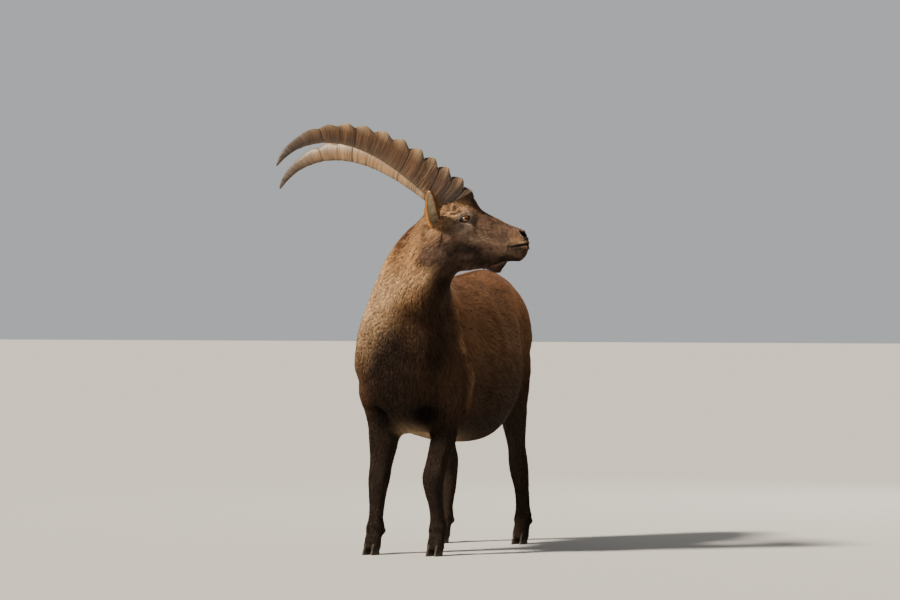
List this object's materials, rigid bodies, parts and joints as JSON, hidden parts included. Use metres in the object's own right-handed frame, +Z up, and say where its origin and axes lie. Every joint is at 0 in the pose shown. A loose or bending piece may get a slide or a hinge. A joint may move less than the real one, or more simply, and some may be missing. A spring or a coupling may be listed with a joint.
{
  "type": "alpine ibex",
  "caption": "Life-size standing mountain goat buck with long knobbed back-swept horns, head turned to its left and a short dark beard.",
  "frame": {"origin": "centre of the bounding box at floor level", "axes": "+Z up; the body faces -Y, and its left side is +X"},
  "size_m": [0.8688, 1.4162, 1.4074],
  "materials": {
    "coat": "short dense chestnut fur, paler on the neck and cream on the belly",
    "dark_coat": "short blackish brown fur of legs, tail and beard",
    "horn": "grey-brown ribbed horn with fine growth rings",
    "hoof": "dark smooth horn of the claws",
    "eye": "glossy orange-brown iris with a dark level pupil"
  },
  "bodies": {
    "root": {"beard": "dark_coat", "ear_left": "coat", "ear_right": "coat", "eye_left": "eye", "eye_right": "eye", "head": "coat", "horn_left": "horn", "horn_right": "horn", "leg_fore_left_claw_inner": "hoof", "leg_fore_left_claw_outer": "hoof", "leg_fore_left_dewclaw_inner": "hoof", "leg_fore_left_dewclaw_outer": "hoof", "leg_fore_left_lower": "dark_coat", "leg_fore_left_upper": "dark_coat", "leg_fore_right_claw_inner": "hoof", "leg_fore_right_claw_outer": "hoof", "leg_fore_right_dewclaw_inner": "hoof", "leg_fore_right_dewclaw_outer": "hoof", "leg_fore_right_lower": "dark_coat", "leg_fore_right_upper": "dark_coat", "leg_hind_left_claw_inner": "hoof", "leg_hind_left_claw_outer": "hoof", "leg_hind_left_dewclaw_inner": "hoof", "leg_hind_left_dewclaw_outer": "hoof", "leg_hind_left_lower": "dark_coat", "leg_hind_left_upper": "dark_coat", "leg_hind_right_claw_inner": "hoof", "leg_hind_right_claw_outer": "hoof", "leg_hind_right_dewclaw_inner": "hoof", "leg_hind_right_dewclaw_outer": "hoof", "leg_hind_right_lower": "dark_coat", "leg_hind_right_upper": "dark_coat", "neck": "coat", "tail": "dark_coat", "torso": "coat"}
  },
  "joints": []
}
